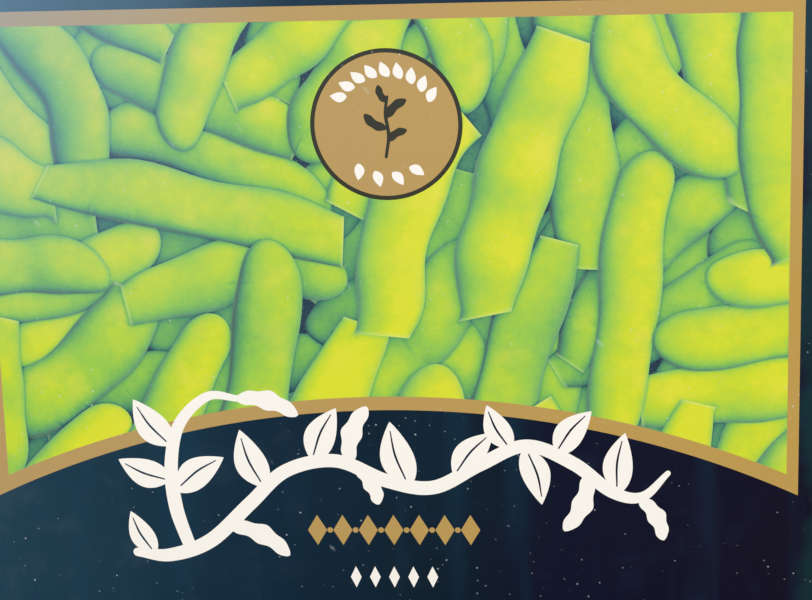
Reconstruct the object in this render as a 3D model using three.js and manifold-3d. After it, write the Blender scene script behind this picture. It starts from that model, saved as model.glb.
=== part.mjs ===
// A sealed retail carton of frozen edamame pods, standing on its long bottom panel as on a shop shelf.
// Millimetres, +Z up. X runs across the front panel, Y from the front panel (-Y) to the back panel (+Y).
// The origin is the middle of the bottom panel, on the surface that the carton stands on.
//
// The carton is one piece of paperboard. Its front, top, back and bottom panels are folded round into a tube
// that a glue flap closes inside the bottom panel. Each end is shut by four flaps: two short dust flaps from
// the top and bottom panels, then the inner flap from the back panel, then the outer flap from the front panel.
// The pods lie loose inside, in four crossed layers, and reach most of the way up.

import * as THREE from "three";
import { mergeVertices } from "three/addons/utils/BufferGeometryUtils.js";
import Module from "manifold-3d";

const wasm = await Module();
wasm.setup();

// Driving dimensions
const WIDTH = 200;
const DEPTH = 40;
const HEIGHT = 150;
const BOARD = 0.5; // thickness of the paperboard
const CREASE = 1.25; // outer radius of a folded edge
const CREASE_STEPS = 4; // facets round a folded edge

// Closures
const FLAP_TRIM = 0.75; // how far a flap's side edges stay inside the panels that they close
const DUST_FLAP = 32; // reach of a dust flap from its fold
const DUST_TRIM = 1.5; // the same trim at a dust flap's sides, which leaves the small corner gaps
const OUTER_FLAP_SHORT = 1.6; // strip of the inner flap that the outer flap leaves bare
const INNER_FLAP_SHORT = 5;
const TUBE_SHORT = 1.6; // the tube's corners stop this far inside the carton's ends
const GLUE_FLAP = 14;
const SEAM_STEP = 0.7; // the bottom panel's cut edge stops this far inside the back panel's face

// Pods
const POD_LENGTH = 62;
const POD_WIDTH = 15; // from seam to seam
const POD_THICKNESS = 10.8;
const POD_BEND = 3.2; // the most that a pod's middle bows out of the line between its ends
const LEAST_BEND = 0.3; // of that most
const BEAN_SWELL = 0.12; // share of the pod's girth that comes and goes with its beans
const END_GIRTH = 0.55; // girth at the cut ends, as a share of the middle's
const END_TAPER = 6; // power that keeps the girth full until near the ends
const LENGTH_SPREAD = 0.04; // lengths differ by up to this share
const THREE_BEAN_SHARE = 0.3; // the other pods hold two

// The heap: lying and standing layers by turns, counted from the front panel
const LAYERS = 4;
const ROW_PITCH = 14.7; // between pods that are side by side
const LYING_ROWS = 8;
const LYING_COLUMNS = 3;
const LYING_GAP = 1.5; // between the ends of lying pods
const STANDING_ROWS = 2;
const STANDING_COLUMNS = 13;
const TURN_JITTER = 0.2; // radians
const SHIFT_JITTER = 0.8;
const WALL_GAP = 0.5; // clear space between the pods and the board
const SEED = 14;

const BOARD_COLOUR = 0x12384c;
const POD_COLOUR = 0xa9cc4a;

// A repeatable draw from 0 to 1: the state is multiplied, and the remainder is the next state.
function drawFrom(seed) {
  const modulus = 2147483647;
  const multiplier = 48271;
  let state = seed;
  return () => {
    state = (state * multiplier) % modulus;
    return state / modulus;
  };
}

// A closed geometry as a solid that can be joined to others.
function solidOf(geometry) {
  const bare = geometry.clone();
  bare.deleteAttribute("normal");
  bare.deleteAttribute("uv");
  const merged = mergeVertices(bare, 1e-4);
  const mesh = new wasm.Mesh({
    numProp: 3,
    vertProperties: merged.attributes.position.array,
    triVerts: new Uint32Array(merged.index.array),
  });
  return new wasm.Manifold(mesh);
}

function geometryOf(solid) {
  const { numProp, vertProperties, triVerts } = solid.getMesh();
  const positions = new Float32Array((vertProperties.length / numProp) * 3);
  for (let i = 0; i * numProp < vertProperties.length; i++) {
    positions.set(vertProperties.subarray(i * numProp, i * numProp + 3), i * 3);
  }
  const geometry = new THREE.BufferGeometry();
  geometry.setAttribute("position", new THREE.BufferAttribute(positions, 3));
  geometry.setIndex(new THREE.BufferAttribute(triVerts, 1));
  geometry.computeVertexNormals();
  return geometry;
}

const AXIS = {
  x: new THREE.Vector3(1, 0, 0),
  y: new THREE.Vector3(0, 1, 0),
  z: new THREE.Vector3(0, 0, 1),
  minusX: new THREE.Vector3(-1, 0, 0),
  minusY: new THREE.Vector3(0, -1, 0),
  minusZ: new THREE.Vector3(0, 0, -1),
};
const SEAM_UP = new THREE.Matrix4().makeBasis(AXIS.x, AXIS.z, AXIS.minusY); // a pod's seams face up and down
const HEAP_FLOOR = 2 * BOARD + WALL_GAP;

// A flat outline extruded by length, with its own two axes and the extrusion laid along three given ones.
function extruded(shape, length, across, up, along, start) {
  const geometry = new THREE.ExtrudeGeometry(shape, {
    depth: length,
    bevelEnabled: false,
    curveSegments: CREASE_STEPS,
  });
  const place = new THREE.Matrix4().makeBasis(across, up, along).setPosition(...start);
  return solidOf(geometry.applyMatrix4(place));
}

// A strip of board folded into a U: a panel from -half to half with a flap rising from each end of it.
function foldedStrip(half, flap) {
  const inner = CREASE - BOARD;
  const bend = half - CREASE;
  const strip = new THREE.Shape();
  strip.moveTo(-half, flap);
  strip.lineTo(-half, CREASE);
  strip.absarc(-bend, CREASE, CREASE, Math.PI, 1.5 * Math.PI, false);
  strip.lineTo(bend, 0);
  strip.absarc(bend, CREASE, CREASE, 1.5 * Math.PI, 2 * Math.PI, false);
  strip.lineTo(half, flap);
  strip.lineTo(half - BOARD, flap);
  strip.lineTo(half - BOARD, CREASE);
  strip.absarc(bend, CREASE, inner, 0, -0.5 * Math.PI, true);
  strip.lineTo(-bend, BOARD);
  strip.absarc(-bend, CREASE, inner, 1.5 * Math.PI, Math.PI, true);
  strip.lineTo(-half + BOARD, flap);
  return strip;
}

// The tube's section in the YZ plane: four panels, with the glue flap lying inside on the bottom panel.
function tubeSection() {
  const side = DEPTH / 2;
  const inner = CREASE - BOARD;
  const flapTop = 2 * BOARD;
  const outside = new THREE.Shape();
  outside.moveTo(-side + CREASE, 0);
  outside.lineTo(side - SEAM_STEP, 0);
  outside.lineTo(side - SEAM_STEP, BOARD);
  outside.lineTo(side - CREASE, BOARD);
  outside.absarc(side - CREASE, BOARD + CREASE, CREASE, -0.5 * Math.PI, 0, false);
  outside.lineTo(side, HEIGHT - CREASE);
  outside.absarc(side - CREASE, HEIGHT - CREASE, CREASE, 0, 0.5 * Math.PI, false);
  outside.lineTo(-side + CREASE, HEIGHT);
  outside.absarc(-side + CREASE, HEIGHT - CREASE, CREASE, 0.5 * Math.PI, Math.PI, false);
  outside.lineTo(-side, CREASE);
  outside.absarc(-side + CREASE, CREASE, CREASE, Math.PI, 1.5 * Math.PI, false);

  const hollow = new THREE.Path();
  hollow.moveTo(-side + CREASE, BOARD);
  hollow.absarc(-side + CREASE, CREASE, inner, 1.5 * Math.PI, Math.PI, true);
  hollow.lineTo(-side + BOARD, HEIGHT - CREASE);
  hollow.absarc(-side + CREASE, HEIGHT - CREASE, inner, Math.PI, 0.5 * Math.PI, true);
  hollow.lineTo(side - CREASE, HEIGHT - BOARD);
  hollow.absarc(side - CREASE, HEIGHT - CREASE, inner, 0.5 * Math.PI, 0, true);
  hollow.lineTo(side - BOARD, flapTop + inner);
  hollow.absarc(side - CREASE, flapTop + inner, inner, 0, -0.5 * Math.PI, true);
  hollow.lineTo(side - GLUE_FLAP, flapTop);
  hollow.lineTo(side - GLUE_FLAP, BOARD);
  outside.holes.push(hollow);
  return outside;
}

function cartonSolid() {
  const end = WIDTH / 2;
  const tubeLength = WIDTH - 2 * TUBE_SHORT;
  const tube = extruded(tubeSection(), tubeLength, AXIS.y, AXIS.z, AXIS.x, [-tubeLength / 2, 0, 0]);

  const closureHeight = HEIGHT - 2 * FLAP_TRIM;
  const outerFlaps = extruded(
    foldedStrip(end, DEPTH - OUTER_FLAP_SHORT),
    closureHeight, AXIS.x, AXIS.y, AXIS.z, [0, -DEPTH / 2, FLAP_TRIM],
  );
  const innerFlaps = extruded(
    foldedStrip(end - BOARD, DEPTH - INNER_FLAP_SHORT),
    closureHeight, AXIS.minusX, AXIS.minusY, AXIS.z, [0, DEPTH / 2, FLAP_TRIM],
  );

  const dust = foldedStrip(end - 2 * BOARD, DUST_FLAP);
  const dustWidth = DEPTH - 2 * DUST_TRIM;
  const topFlaps = extruded(
    dust, dustWidth, AXIS.x, AXIS.minusZ, AXIS.y, [0, -dustWidth / 2, HEIGHT],
  );
  const bottomFlaps = extruded(
    dust, dustWidth, AXIS.x, AXIS.z, AXIS.minusY, [0, dustWidth / 2, 0],
  );
  return [outerFlaps, innerFlaps, topFlaps, bottomFlaps].reduce((whole, part) => whole.add(part), tube);
}

// One pod: four-cornered rings along a bowed line, wide from seam to seam and thin through, cut at both ends.
function podGeometry(length, beans, bend) {
  const rings = beans * 2 + 1;
  const positions = [];
  const faces = [];
  const outline = [[1, 0], [0, 1], [-1, 0], [0, -1]];
  const sides = outline.length;
  for (let i = 0; i < rings; i++) {
    const s = i / (rings - 1);
    const fromMiddle = 2 * s - 1;
    const swell = 1 - BEAN_SWELL * (0.5 + 0.5 * Math.cos(2 * Math.PI * beans * s));
    const girth = swell * (1 - (1 - END_GIRTH) * fromMiddle ** END_TAPER);
    const bow = bend * (1 - fromMiddle * fromMiddle);
    for (const [wide, thick] of outline) {
      positions.push(
        (length / 2) * fromMiddle,
        bow + (wide * girth * POD_WIDTH) / 2,
        (thick * girth * POD_THICKNESS) / 2,
      );
    }
  }
  for (let i = 0; i < rings - 1; i++) {
    for (let k = 0; k < sides; k++) {
      const a = i * sides + k;
      const b = i * sides + ((k + 1) % sides);
      faces.push(a, b, a + sides, b, b + sides, a + sides);
    }
  }
  const last = (rings - 1) * sides;
  for (let k = 1; k < sides - 1; k++) {
    faces.push(0, k + 1, k, last, last + k, last + k + 1);
  }
  const geometry = new THREE.BufferGeometry();
  geometry.setAttribute("position", new THREE.BufferAttribute(new Float32Array(positions), 3));
  geometry.setIndex(faces);
  return geometry;
}

// Moves a geometry back inside the carton's free space where it reaches out of it.
function keepInside(geometry) {
  const room = new THREE.Box3(
    new THREE.Vector3(-WIDTH / 2 + 3 * BOARD + WALL_GAP, -DEPTH / 2 + BOARD + WALL_GAP, HEAP_FLOOR),
    new THREE.Vector3(WIDTH / 2 - 3 * BOARD - WALL_GAP, DEPTH / 2 - BOARD - WALL_GAP, HEIGHT - BOARD - WALL_GAP),
  );
  geometry.computeBoundingBox();
  const { min, max } = geometry.boundingBox;
  const shift = (axis) => Math.max(room.min[axis] - min[axis], 0) + Math.min(room.max[axis] - max[axis], 0);
  return geometry.translate(shift("x"), shift("y"), shift("z"));
}

// The pods of one layer, in rows and columns, every one a little turned, shifted, bent and longer or shorter.
function podLayer(y, lying, draw) {
  const jitter = (size) => (2 * draw() - 1) * size;
  const columns = lying ? LYING_COLUMNS : STANDING_COLUMNS;
  const rows = lying ? LYING_ROWS : STANDING_ROWS;
  const columnPitch = lying ? POD_LENGTH + LYING_GAP : ROW_PITCH;
  const rowPitch = lying ? ROW_PITCH : POD_LENGTH;
  const upright = lying ? 0 : Math.PI / 2;
  const layer = [];
  for (let row = 0; row < rows; row++) {
    for (let column = 0; column < columns; column++) {
      const beans = draw() < THREE_BEAN_SHARE ? 3 : 2;
      const side = (row + column) % 2 ? 1 : -1;
      const bend = side * POD_BEND * (LEAST_BEND + (1 - LEAST_BEND) * draw());
      const pod = podGeometry(POD_LENGTH * (1 + jitter(LENGTH_SPREAD)), beans, bend);
      const turn = new THREE.Matrix4().makeRotationY(upright + jitter(TURN_JITTER));
      const x = (column - (columns - 1) / 2) * columnPitch + jitter(SHIFT_JITTER);
      const z = HEAP_FLOOR + (row + 0.5) * rowPitch + jitter(SHIFT_JITTER);
      pod.applyMatrix4(turn.multiply(SEAM_UP).setPosition(x, y, z));
      layer.push(solidOf(keepInside(pod)));
    }
  }
  return layer;
}

function podHeap() {
  const draw = drawFrom(SEED);
  const layerPitch = (DEPTH - 2 * (BOARD + WALL_GAP) - POD_THICKNESS) / (LAYERS - 1);
  const pods = [];
  for (let layer = 0; layer < LAYERS; layer++) {
    pods.push(...podLayer((layer - (LAYERS - 1) / 2) * layerPitch, layer % 2 === 0, draw));
  }
  return pods.reduce((heap, pod) => heap.add(pod));
}

function meshOf(name, solid, colour, roughness) {
  const material = new THREE.MeshStandardMaterial({ color: colour, roughness, metalness: 0 });
  const mesh = new THREE.Mesh(geometryOf(solid), material);
  mesh.name = name;
  return mesh;
}

const pack = new THREE.Group();
pack.add(meshOf("carton", cartonSolid(), BOARD_COLOUR, 0.3));
pack.add(meshOf("pods", podHeap(), POD_COLOUR, 0.6));

export default pack;
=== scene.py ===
"""A sealed carton of frozen edamame: one printed, die-cut blank of board, folded and glued round loose pods.

The blank, its folds and its print are worked out flat, in millimetres: x runs along the carton, v round it.
On the front panel v is the height above the shelf. The folds then carry every point of the blank into space,
in metres, +Z up, the front panel facing -Y.
"""
import math

import bpy
import numpy as np
from mathutils import Matrix, Vector
from mathutils.geometry import delaunay_2d_cdt


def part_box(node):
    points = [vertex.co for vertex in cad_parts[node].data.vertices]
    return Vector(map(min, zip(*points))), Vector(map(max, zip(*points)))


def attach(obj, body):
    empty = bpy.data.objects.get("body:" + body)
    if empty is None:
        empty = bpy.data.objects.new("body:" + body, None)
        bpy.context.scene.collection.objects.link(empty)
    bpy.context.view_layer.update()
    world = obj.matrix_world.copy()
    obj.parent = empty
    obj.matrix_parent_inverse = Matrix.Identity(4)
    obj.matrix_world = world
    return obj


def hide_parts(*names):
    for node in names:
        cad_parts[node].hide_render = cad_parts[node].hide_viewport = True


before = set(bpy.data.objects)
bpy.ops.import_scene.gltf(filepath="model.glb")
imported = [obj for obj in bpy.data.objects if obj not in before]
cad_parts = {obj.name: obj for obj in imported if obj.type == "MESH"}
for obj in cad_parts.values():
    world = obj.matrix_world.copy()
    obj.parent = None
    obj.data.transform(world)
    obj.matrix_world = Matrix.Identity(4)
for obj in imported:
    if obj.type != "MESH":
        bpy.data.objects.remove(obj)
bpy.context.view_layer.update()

MM = 0.001
low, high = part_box("carton")
WIDTH, DEPTH, HEIGHT = ((high[axis] - low[axis]) / MM for axis in range(3))

# Camera, from the corners of the picture's window in the photograph
IMAGE_WIDTH = 812
FOCAL_PIXELS = 2100
CAMERA_PLACE = (46.5, -491.6, 190.5)
CAMERA_TILT = -13.42
CAMERA_YAW = 5.07
CAMERA_ROLL = 1.64

# Board and folds
BOARD = 0.48
FOLD = 1.25  # outer radius of a crease
QUARTER = FOLD * math.pi / 2
FOLD_STEPS = 5
SIDE = DEPTH / 2
SEAM_STEP = 0.7  # the bottom panel's cut edge stops this far inside the back panel
GLUE_FLAP = 14
GLUE_RISE = 0.5  # the glue flap lies on the bottom panel
OUTER_REACH = WIDTH / 2
INNER_REACH = WIDTH / 2 - 0.5
DUST_REACH = WIDTH / 2 - 1
OUTER_FLAP = DEPTH - 1.6
INNER_FLAP = DEPTH - 5
DUST_FLAP = 32
DUST_HALF = SIDE - 1.5
FLAP_TAPER = 0.6  # a flap narrows by this much at its free edge
TUBE_END = WIDTH / 2 - 1.4  # where the creases of the tube stop
HAIR = 0.05  # the least gap between neighbouring cuts
CROWN = 0.5  # how far the full carton swells its large panels
MESH_STEP = 6.0  # spacing of the board's mesh where nothing is printed

# The printed front, in panel millimetres
WINDOW_HALF = 92.4
WINDOW_TOP = 142.4
WINDOW_FOOT = 35.1  # height of the picture's lower corners
ARCH_TOP = 54.4  # height of the picture's lower edge, in the middle
GOLD_HALF = 95.1
GOLD_TOP = 145.8
GOLD_FOOT = 29.9
GOLD_ARCH_TOP = 51.1
BADGE_PLACE = (1.3, 118.6)
BADGE_RADIUS = 17.4
BADGE_RING = 1.0
LOZENGE_STEP = 6.1
GOLD_ROW = 21.3  # heights of the two rows of lozenges
CREAM_ROW = 9.4


def srgb(*parts):
    """A screen colour of 0 to 255 as linear values, by the usual power law with its straight foot."""
    shares = [part / 255 for part in parts]
    return (*(x / 12.92 if x <= 0.04045 else ((x + 0.055) / 1.055) ** 2.4 for x in shares), 1.0)


# Folding


class Wrap:
    """How the blank's printed face winds round the carton: straight runs and quarter turns in the YZ plane.

    A straight run goes on along its heading. In a turn the heading falls by a right angle at an even rate, so
    its points lie on a quarter circle to the right of its start.
    """

    # Name, length, whether it turns, and the reach of the end flap that hangs on it
    RUNS = (
        ("bottom", DEPTH - SEAM_STEP - FOLD, False, DUST_REACH),
        ("front foot fold", QUARTER, True, None),
        ("front", HEIGHT - 2 * FOLD, False, OUTER_REACH),
        ("front head fold", QUARTER, True, None),
        ("top", DEPTH - 2 * FOLD, False, DUST_REACH),
        ("back head fold", QUARTER, True, None),
        ("back", HEIGHT - 2 * FOLD - GLUE_RISE, False, INNER_REACH),
        ("back foot fold", QUARTER, True, None),
        ("glue", GLUE_FLAP - FOLD, False, None),
    )

    def __init__(self):
        place = np.array([SIDE - SEAM_STEP, 0.0])
        heading = math.pi
        v = FOLD - QUARTER - self.RUNS[0][1]
        rows = []
        self.start = {}
        for name, length, turns, reach in self.RUNS:
            self.start[name] = v
            rows.append((v, *place, heading, float(turns), reach or 1e6))
            if turns:
                centre = place + FOLD * np.array([math.sin(heading), -math.cos(heading)])
                heading -= math.pi / 2
                place = centre + FOLD * np.array([-math.sin(heading), math.cos(heading)])
            else:
                place = place + length * np.array([math.cos(heading), math.sin(heading)])
            v += length
        self.end = v
        self.rows = np.array(rows)

    def knots(self):
        return [*self.rows[:, 0], self.end]

    def at(self, v):
        """Place (y, z), outward normal (y, z) and the reach of the flap at blank height v."""
        index = np.clip(np.searchsorted(self.rows[:, 0], v, side="right") - 1, 0, len(self.rows) - 1)
        start, y, z, heading, turns, reach = self.rows[index].T
        run = v - start
        turned = heading - turns * run / FOLD
        centre_y = y + FOLD * np.sin(heading)
        centre_z = z - FOLD * np.cos(heading)
        bends = turns > 0
        place_y = np.where(bends, centre_y - FOLD * np.sin(turned), y + run * np.cos(heading))
        place_z = np.where(bends, centre_z + FOLD * np.cos(turned), z + run * np.sin(heading))
        return np.stack([place_y, place_z], 1), np.stack([-np.sin(turned), np.cos(turned)], 1), reach


wrap = Wrap()
FRONT_START = wrap.start["front"]
TOP_START = wrap.start["top"]
BACK_START = wrap.start["back"]


def crowned(x, v):
    """How far a full carton's large panels swell: a product of two parabolas that vanish on the folds."""
    swell = np.zeros_like(x)
    for start, length in ((FRONT_START, HEIGHT - 2 * FOLD), (BACK_START, HEIGHT - 2 * FOLD - GLUE_RISE)):
        across = np.clip(1 - (x / (INNER_REACH - FOLD)) ** 2, 0, None)
        up = np.clip(1 - (2 * (v - start) / length - 1) ** 2, 0, None)
        swell += CROWN * across * up
    return swell


def folded(x, v, depth):
    """Blank points in space, in metres, depth millimetres under the printed face. Round the tube they follow
    the wrap. Past a flap's fold line they go round a quarter circle, then straight inwards."""
    place, normal, reach = wrap.at(v)
    over = np.clip(np.abs(x) - (reach - FOLD), 0, None)
    angle = np.clip(over / FOLD, 0, math.pi / 2)
    flat = np.clip(over - QUARTER, 0, None)
    radius = FOLD - depth
    bent = over > 0
    along = np.where(bent, reach - FOLD + radius * np.sin(angle), np.abs(x)) * np.sign(x)
    sunk = np.where(bent, FOLD - radius * np.cos(angle) + flat, depth)
    lift = np.where(bent, 0, crowned(x, v)) - sunk
    return np.stack([along, place[:, 0] + normal[:, 0] * lift, place[:, 1] + normal[:, 1] * lift], 1) * MM


def blank_outline():
    """The die-cut outline: its right side from the bottom panel's cut edge to the glue flap, and the mirror
    image. Each end flap narrows to its free edge."""
    near = DUST_REACH - FOLD
    right = [(near, wrap.knots()[0])]
    for name, reach, length in (
        ("bottom", DUST_REACH, DUST_FLAP),
        ("front", OUTER_REACH, OUTER_FLAP),
        ("top", DUST_REACH, DUST_FLAP),
        ("back", INNER_REACH, INNER_FLAP),
    ):
        start = wrap.start[name]
        stop = next(knot for knot in wrap.knots() if knot > start + HAIR)
        dust_flap = reach == DUST_REACH
        edge = near if dust_flap else TUBE_END
        middle = (start + stop) / 2 + (SEAM_STEP - FOLD) / 2 * (name == "bottom")
        half = DUST_HALF if dust_flap else (stop - start) / 2 - HAIR
        foot, head = middle - half, middle + half
        tip = reach - FOLD + QUARTER + length - FOLD
        right += [(edge, foot), (tip, foot + FLAP_TAPER), (tip, head - FLAP_TAPER), (edge, head)]
        if dust_flap:
            right += [(near, stop + HAIR), (TUBE_END, stop + HAIR)]
        elif name == "front":
            right += [(TUBE_END, TOP_START - HAIR), (near, TOP_START - HAIR)]
    right += [(TUBE_END, wrap.start["glue"]), (TUBE_END - GLUE_FLAP / 2, wrap.end)]
    return np.array(right + [(-x, v) for x, v in reversed(right)])


# Outlines


def circle(centre, radius, steps=96):
    angle = np.linspace(0, 2 * math.pi, steps, endpoint=False)
    return np.array(centre) + radius * np.stack([np.cos(angle), np.sin(angle)], 1)


def arch(half, foot, crest, steps=72):
    """Points from left to right on the circle through (-half, foot), (0, crest) and (half, foot)."""
    rise = crest - foot
    radius = (half * half + rise * rise) / (2 * rise)
    reach = math.asin(half / radius)
    angle = np.linspace(-reach, reach, steps)
    return np.stack([radius * np.sin(angle), crest - radius + radius * np.cos(angle)], 1)


def rectangle(x0, v0, x1, v1):
    return np.array([(x0, v0), (x1, v0), (x1, v1), (x0, v1)], float)


def lozenge(x, y, width, height):
    return [(x + width / 2, y), (x, y + height / 2), (x - width / 2, y), (x, y - height / 2)]


def curve(knots, steps=14):
    """A smooth line through the knots: Catmull-Rom cubics, each blended from four neighbouring knots."""
    knots = np.asarray(knots, float)
    ends = (2 * knots[0] - knots[1], *knots, 2 * knots[-1] - knots[-2])
    p0, p1, p2, p3 = (np.array(ends[i:len(knots) - 1 + i])[:, None] for i in range(4))
    t = np.linspace(0, 1, steps, endpoint=False)[None, :, None]
    line = 0.5 * (2 * p1 + (p2 - p0) * t + (2 * p0 - 5 * p1 + 4 * p2 - p3) * t ** 2
                  + (3 * p1 - p0 - 3 * p2 + p3) * t ** 3)
    return np.concatenate([line.reshape(-1, knots.shape[1]), knots[-1:]])


def stroke(knots):
    """A brush stroke: a smooth line through knots (x, y, width), widened to both sides, with round ends."""
    line = curve(knots)
    way = np.gradient(line[:, :2], axis=0)
    way /= np.linalg.norm(way, axis=1, keepdims=True)
    side = np.stack([-way[:, 1], way[:, 0]], 1)
    half = line[:, 2:] / 2
    turn = np.linspace(0, math.pi, 7)[1:-1, None]
    tip = line[-1, :2] + half[-1] * (np.cos(turn) * side[-1] + np.sin(turn) * way[-1])
    tail = line[0, :2] - half[0] * (np.cos(turn) * side[0] + np.sin(turn) * way[0])
    left = line[:, :2] + side * half
    right = line[:, :2] - side * half
    return np.concatenate([left, tip, right[::-1], tail])


def turned(points, angle, place):
    cos, sin = math.cos(angle), math.sin(angle)
    return np.asarray(points) @ np.array([[cos, sin], [-sin, cos]]) + place


def bowed(t, length, half, lean):
    """An outline along x: its half widths lie to both sides of half a sine wave, lean high at its crest."""
    line = lean * length * np.sin(math.pi * t)
    upper = np.stack([t * length, line + half], 1)
    lower = np.stack([t * length, line - half], 1)
    return np.concatenate([lower, upper[::-1][1:-1]])


def leaf_shape(length, width):
    """A leaf along x: its half width is a sine of the way along to a power below 1, widest near the base."""
    t = np.linspace(0, 1, 22)
    return bowed(t, length, width / 2 * np.sin(math.pi * t ** 0.8) ** 0.9, 0.06)


def pod_shape(length, width, beans):
    """A plump pod along x: its half width is a blunt sine times a cosine wave that swells over each bean."""
    t = np.linspace(0, 1, 40)
    wave = 0.88 + 0.12 * -np.cos(2 * math.pi * beans * (t * 0.94 + 0.03))
    return bowed(t, length, width / 2 * np.sin(math.pi * t) ** 0.45 * wave, 0.10)


def signed_area(outline):
    ahead = np.roll(outline, -1, 0)
    return 0.5 * np.sum(outline[:, 0] * ahead[:, 1] - ahead[:, 0] * outline[:, 1])


def inside(points, outline):
    """True for points within a closed outline: a ray to the right crosses it an odd number of times."""
    a = outline
    b = np.roll(outline, -1, 0)
    x, y = points[:, 0, None], points[:, 1, None]
    spans = (a[:, 1] > y) != (b[:, 1] > y)
    rise = np.where(b[:, 1] == a[:, 1], 1, b[:, 1] - a[:, 1])
    crossing = a[:, 0] + (y - a[:, 1]) * (b[:, 0] - a[:, 0]) / rise
    return (np.sum(spans & (x < crossing), 1) % 2).astype(bool)


def thinned(points, gap):
    """The points with near neighbours dropped: one is kept in each square cell of side gap."""
    _, kept = np.unique(np.floor(points / gap).astype(np.int64), axis=0, return_index=True)
    return points[np.sort(kept)]


# Pictured pods

STANDARD_HALF = 7.2  # half width of a pod whose printed shading is neither finer nor coarser than most
TOP_LEVEL = 3.8
POD_SPAN = 75  # pods whose middles lie further apart than this along the carton don't meet
# Tiers of a heap: level, overlap that a pod may have with its tier, new share that it must cover, tries
TIERS = ((3.0, 0.15, 0.84, 1200), (2.0, 0.18, 0.45, 1500), (1.0, 0.35, 0.16, 2500), (0.0, 0.9, 0.04, 3500))
# Rings of mesh points round each printed pod: the way out from its edge, in millimetres, and their steps
SHADING_RINGS = ((-6.2, 28), (-4.6, 32), (-3.0, 38), (-1.7, 44), (-0.7, 60), (0.5, 84), (1.3, 60), (2.8, 38))


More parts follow.
